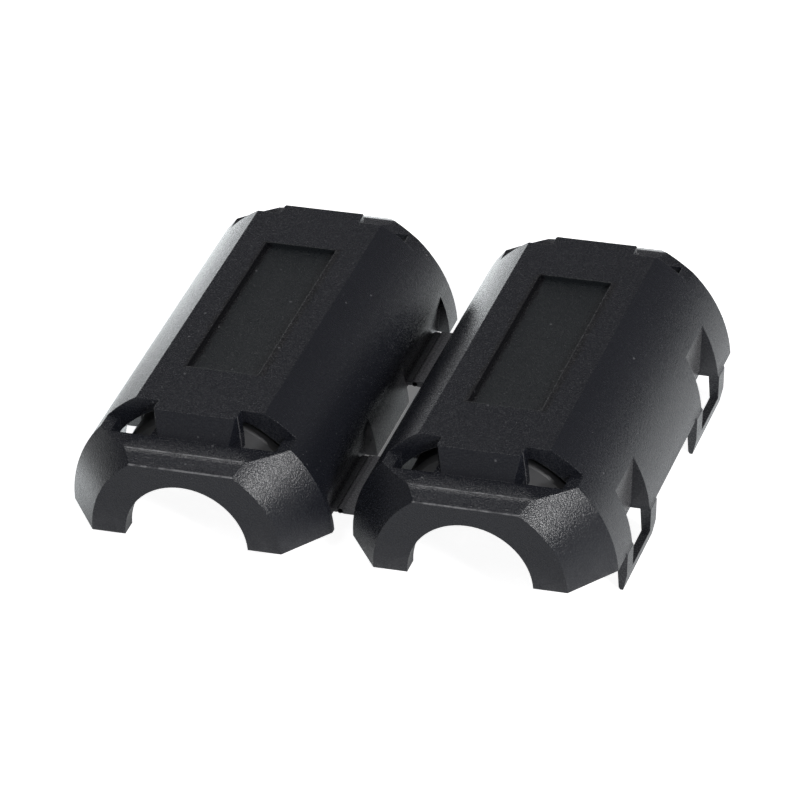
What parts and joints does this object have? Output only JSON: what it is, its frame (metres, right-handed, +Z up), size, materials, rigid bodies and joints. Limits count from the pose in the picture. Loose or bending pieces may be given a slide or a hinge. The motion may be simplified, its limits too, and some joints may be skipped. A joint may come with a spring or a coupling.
{
  "type": "clip-on split ferrite core",
  "caption": "Split ferrite core in a hinged black case that opens flat, lies round a cable and snaps shut with latch loops over wedge hooks.",
  "frame": {"origin": "on the cable axis of the half with the hooks, in the middle of its length, at the parting plane; the closed core's axis goes through it", "axes": "+Y along the cable, +Z up and out of the mating faces, +X across the hinge to the half with the latch loops"},
  "size_m": [0.0406, 0.0356, 0.0115],
  "materials": {
    "case_plastic": "satin black moulding with a fine spark-eroded grain",
    "ferrite": "smooth dark grey sintered"
  },
  "bodies": {
    "hook_half": {"hook_housing": "case_plastic", "hook_side_ferrite": "ferrite"},
    "hinge_straps": {"front_hinge_strap": "case_plastic", "rear_hinge_strap": "case_plastic"},
    "latch_half": {"latch_housing": "case_plastic", "latch_side_ferrite": "ferrite"}
  },
  "joints": [
    {"name": "hook_side_bend", "type": "hinge", "parent": "hook_half", "child": "hinge_straps", "pos_m": [0.00975, 0, 0.00076], "axis": [0, 1, 0], "range_deg": [0, 90]},
    {"name": "latch_side_bend", "type": "hinge", "parent": "hinge_straps", "child": "latch_half", "pos_m": [0.01128, 0, 0.00076], "axis": [0, 1, 0], "range_deg": [0, 90]}
  ],
  "couplings": [
    {"joint": "latch_side_bend", "follows": "hook_side_bend", "ratio": 1}
  ]
}
